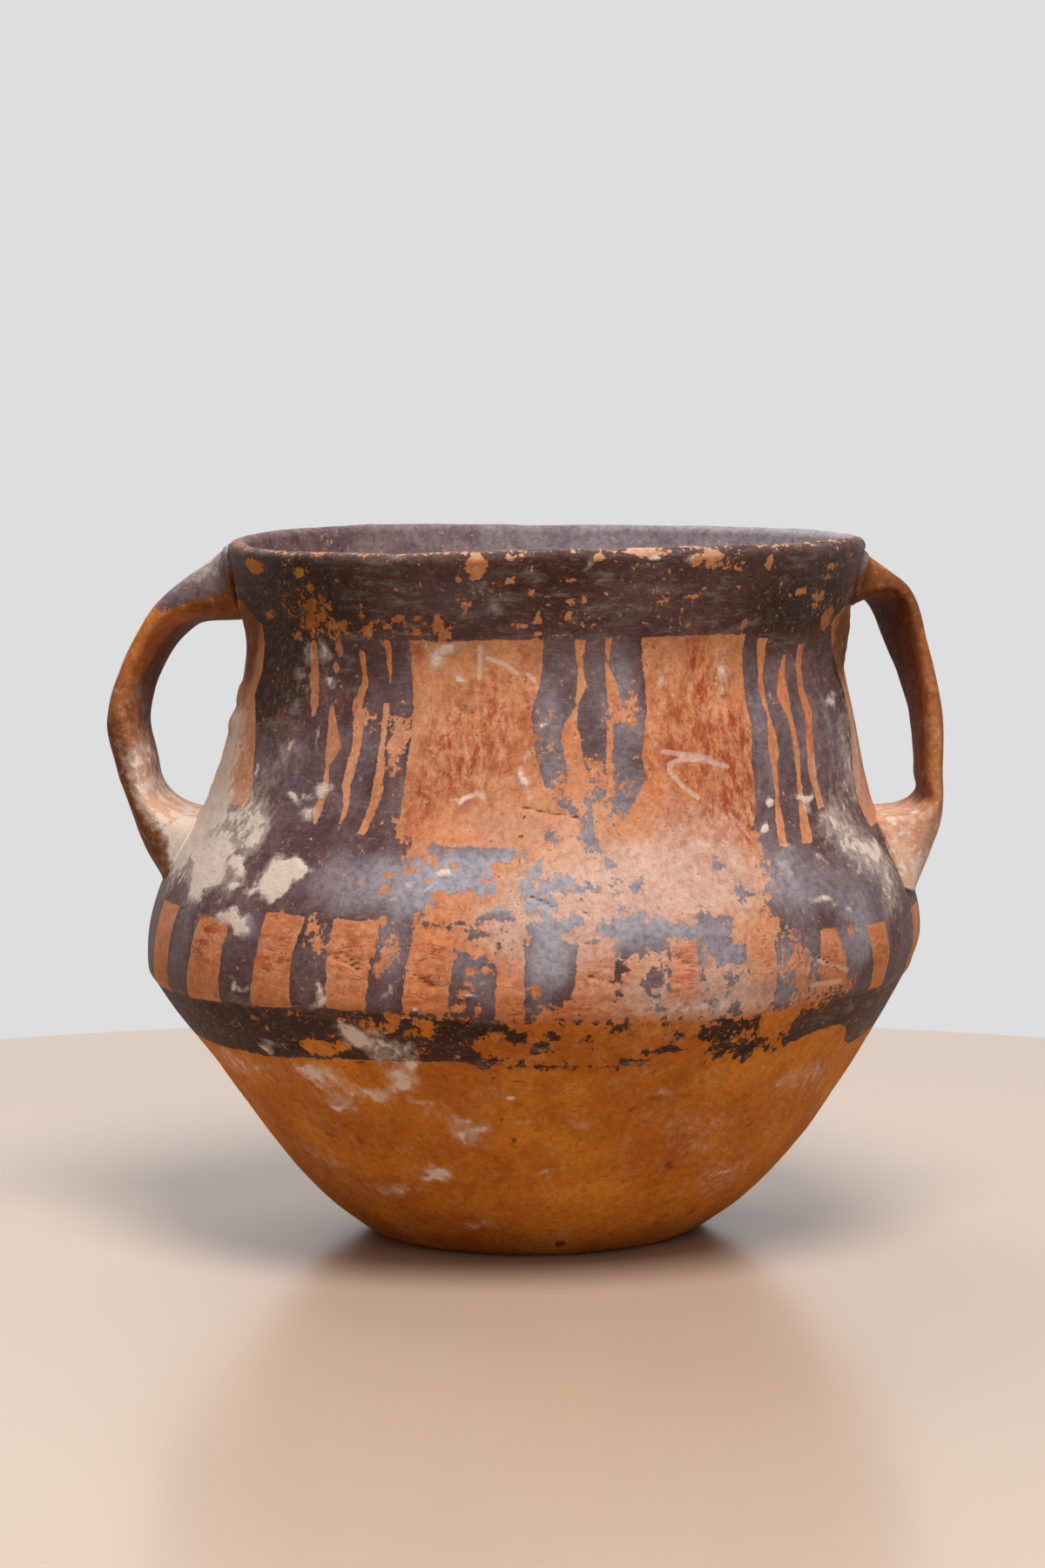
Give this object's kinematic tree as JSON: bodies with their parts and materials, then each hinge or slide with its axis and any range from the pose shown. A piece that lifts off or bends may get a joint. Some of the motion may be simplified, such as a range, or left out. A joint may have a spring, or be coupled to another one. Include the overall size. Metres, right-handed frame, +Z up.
{
  "type": "pottery vase",
  "caption": "Small hand-built jar with a sharp belly, flat foot, flaring rim and two strap handles, painted in worn dark slip on orange clay",
  "frame": {"origin": "centre of the flat underside of the base", "axes": "+Z up along the jar's axis, +X from the left handle to the right one, -Y is the painted front"},
  "size_m": [0.1439, 0.1333, 0.1204],
  "materials": {
    "burnished_clay": "smoothed and burnished low-fired orange earthenware",
    "painted_clay": "orange earthenware with bands and stripes of worn dark slip and patches of pale lime",
    "dark_slip": "matt purple-black slip over orange earthenware, flaked at the lip",
    "handle_clay": "bare orange earthenware with traces of dark slip and lime"
  },
  "bodies": {
    "root": {"base_disc": "burnished_clay", "foot_coil": "burnished_clay", "lower_coil": "burnished_clay", "belly_coil": "painted_clay", "shoulder_coil": "painted_clay", "neck_coil": "painted_clay", "rim_coil": "dark_slip", "handle_left": "handle_clay", "handle_right": "handle_clay"}
  },
  "joints": []
}
